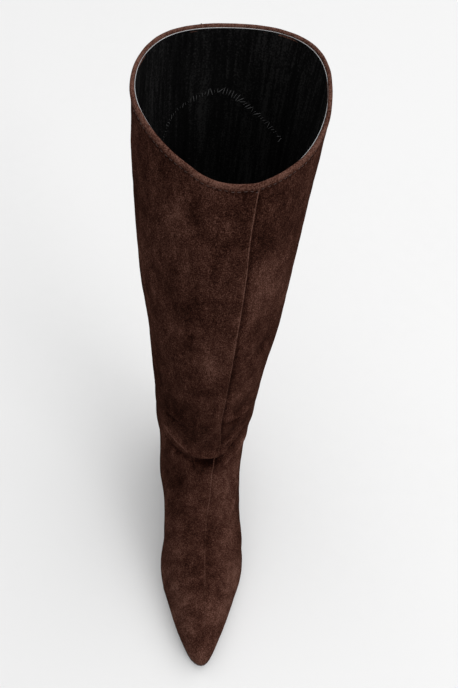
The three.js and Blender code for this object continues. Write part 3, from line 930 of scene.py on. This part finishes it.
def makeStitches(name, points, ups, length, radius, material, turn=None, size=None):
    # One stitch is modelled, and copied to each place, along the line or at its own turn and size
    flatness = 0.8
    bpy.ops.mesh.primitive_uv_sphere_add(segments=8, ring_count=6, radius=radius * mm)
    first = bpy.context.object
    first.data.transform(Matrix.Diagonal((length / (2 * radius), 1.0, flatness, 1.0)))
    copies = []
    for i, (point, up) in enumerate(zip(points, ups)):
        along = (points[(i + 1) % len(points)] - points[i - 1]).normalized()
        if turn:
            along = (Matrix.Rotation(turn(i), 4, up) @ along).normalized()
        side = up.cross(along).normalized()
        frameTurn = Matrix((along, side, along.cross(side))).transposed().to_4x4()
        if size:
            frameTurn = frameTurn @ Matrix.Scale(size(i), 4)
        copy = bpy.data.objects.new(name, first.data.copy())
        copy.data.transform(Matrix.Translation(point) @ frameTurn)
        scene.collection.objects.link(copy)
        copies.append(copy)
    bpy.data.objects.remove(first)
    deselectAll()
    for copy in copies:
        copy.select_set(True)
    bpy.context.view_layer.objects.active = copies[0]
    bpy.ops.object.join()
    piece = bpy.context.object
    piece.name = name
    bpy.ops.object.shade_smooth()
    finishPiece(piece, material)
    return piece


def ringLine(piece, below, count):
    # Evenly spaced places round the collar, at a distance under its edge
    catch = 1.09  # millimetres either way within which points are taken
    centre = 75.0  # Y of the collar's middle
    rings = readRings(piece)
    places, _ = readMesh(piece)
    isLining = rings.min() > walls["shaftRings"]
    distance = np.abs(rings - (rings.max() if isLining else 0)) * collarRelief["ringStep"]
    chosen = places[np.abs(distance - below) < catch]
    angle = np.arctan2(chosen[:, 1] - centre, chosen[:, 0])
    order = np.argsort(angle)
    angle, chosen = angle[order], chosen[order]
    fine = np.linspace(-math.pi, math.pi, 720, endpoint=False)
    line = np.stack([np.interp(fine, angle, chosen[:, k], period=2 * math.pi) for k in range(3)], 1)
    line = np.vstack([line, line[:1]])
    run = np.r_[0, np.cumsum(np.linalg.norm(np.diff(line, axis=0), axis=1))]
    at = np.linspace(0, run[-1], count, endpoint=False)
    return np.stack([np.interp(at, run, line[:, k]) for k in range(3)], 1)


backSeam = [
    (-12.2, 132.4, 456.5), (-11.7, 134.3, 407.9), (-10.4, 133.8, 353.9), (-8.5, 129.0, 299.9),
    (-6.8, 121.0, 251.3), (-5.9, 114.4, 216.2), (-5.2, 110.2, 186.5), (-5.0, 108.8, 166.5),
    (-4.4, 109.3, 151.5), (-3.4, 111.0, 138.6), (-2.1, 113.6, 126.5), (-0.4, 116.6, 115.5),
    (1.3, 119.7, 105.5), (2.0, 121.6, 96.5), (2.0, 122.7, 88.5), (2.0, 123.2, 80.5),
    (2.0, 122.1, 72.6), (2.0, 119.9, 66.0),
]
archSeam = {
    "path": [
        (-33.5, 120, 384), (-32.4, 121.4, 388.6), (-30.0, 123.5, 395.9), (-25.7, 126.5, 400.9),
        (-20.7, 129.1, 403.9), (-14.6, 131.3, 407.2), (-8.5, 132.5, 409.8), (-2.5, 133.0, 411.5),
        (3.6, 132.7, 412.3), (9.7, 131.7, 410.9), (16.1, 129.8, 407.2), (22.4, 126.8, 403.7),
        (28.5, 122.7, 401.0), (33.4, 118.6, 398.3), (37.7, 114.1, 395.9), (41.1, 109.6, 394.4),
    ],
    "count": 52, "length": 4.4, "radius": 0.17, "out": 0.1,
    "turn": (1.25, 0.9),  # radians from the line, and how much that varies
    "size": (0.45, 0.75, 0.6),  # at the inner side, gained by the outer side, share of the run
    "sizes": (0.85, 0.9),  # middle, and how much it varies
}
frontCord = {"radius": 0.48, "out": -0.05, "points": 220, "shift": (-0.5, 0, 0)}
backCord = {"radius": 0.55, "out": -0.1, "points": 220, "tone": 0.04}
collarTape = {"radius": 0.2, "below": 0.7, "points": 240}
collarStitches = {"below": 3.4, "count": 124, "length": 2.0, "radius": 0.22, "out": 0.05}


def strokeTurn(i):
    middle, spread = archSeam["turn"]
    return middle + spread * noise.noise(Vector((i * 0.83, 0.3, 0.7)))


def strokeSize(i):
    # Small and faint at the inner side, larger towards the outer side
    least, gained, over = archSeam["size"]
    middle, spread = archSeam["sizes"]
    grow = least + gained * min(i / archSeam["count"] / over, 1.0)
    return grow * (middle + spread * noise.noise(Vector((i * 1.37, 2.1, 0.4))))


def normalsAt(tree, line):
    return [tree.find_nearest(Vector(point) * mm)[1] for point in line]


liningSurface = surfaceOf(lining)
frontLine = smoothPath(frontSeam, frontCord["points"]) + np.array(frontCord["shift"])
seam = makeTube("front_seam", laidOn(suedeSurface, frontLine, frontCord["out"]), frontCord["radius"],
                False, suede)
# The cord is painted lighter along its run: a painted highlight
paint(seam, "tone", np.interp(nearPath(readMesh(seam)[0], frontLine)[1], *seamCordHighlights))

backLine = smoothPath(backSeam, backCord["points"])
seam = makeTube("back_seam", laidOn(suedeSurface, backLine, backCord["out"]), backCord["radius"],
                False, suede)
paint(seam, "tone", np.full(len(seam.data.vertices), backCord["tone"]))

tapeLine = ringLine(lining, collarTape["below"], collarTape["points"])
makeTube("collar_tape", [Vector(point) * mm for point in tapeLine], collarTape["radius"],
         True, plain["silver_tape"])

stitchLine = ringLine(suedeUpper, collarStitches["below"], collarStitches["count"])
makeStitches("collar_stitches", laidOn(suedeSurface, stitchLine, collarStitches["out"]),
             normalsAt(suedeSurface, stitchLine), collarStitches["length"], collarStitches["radius"],
             plain["seam_thread"])

archLine = smoothPath(archSeam["path"], archSeam["count"])
makeStitches("lining_seam", laidOn(liningSurface, archLine, archSeam["out"]),
             normalsAt(liningSurface, archLine), archSeam["length"], archSeam["radius"],
             plain["lining_thread"], strokeTurn, strokeSize)
print("seams and stitches made")


# CAD nodes that stay, with their materials

for nodeName, material in (("insole", plain["sock_leather"]), ("outsole", plain["sole_leather"]),
                           ("heel", suede), ("heel_lift", plain["lift_rubber"])):
    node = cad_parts[nodeName]
    node.data.materials.clear()
    node.data.materials.append(material)
print("nodes finished")
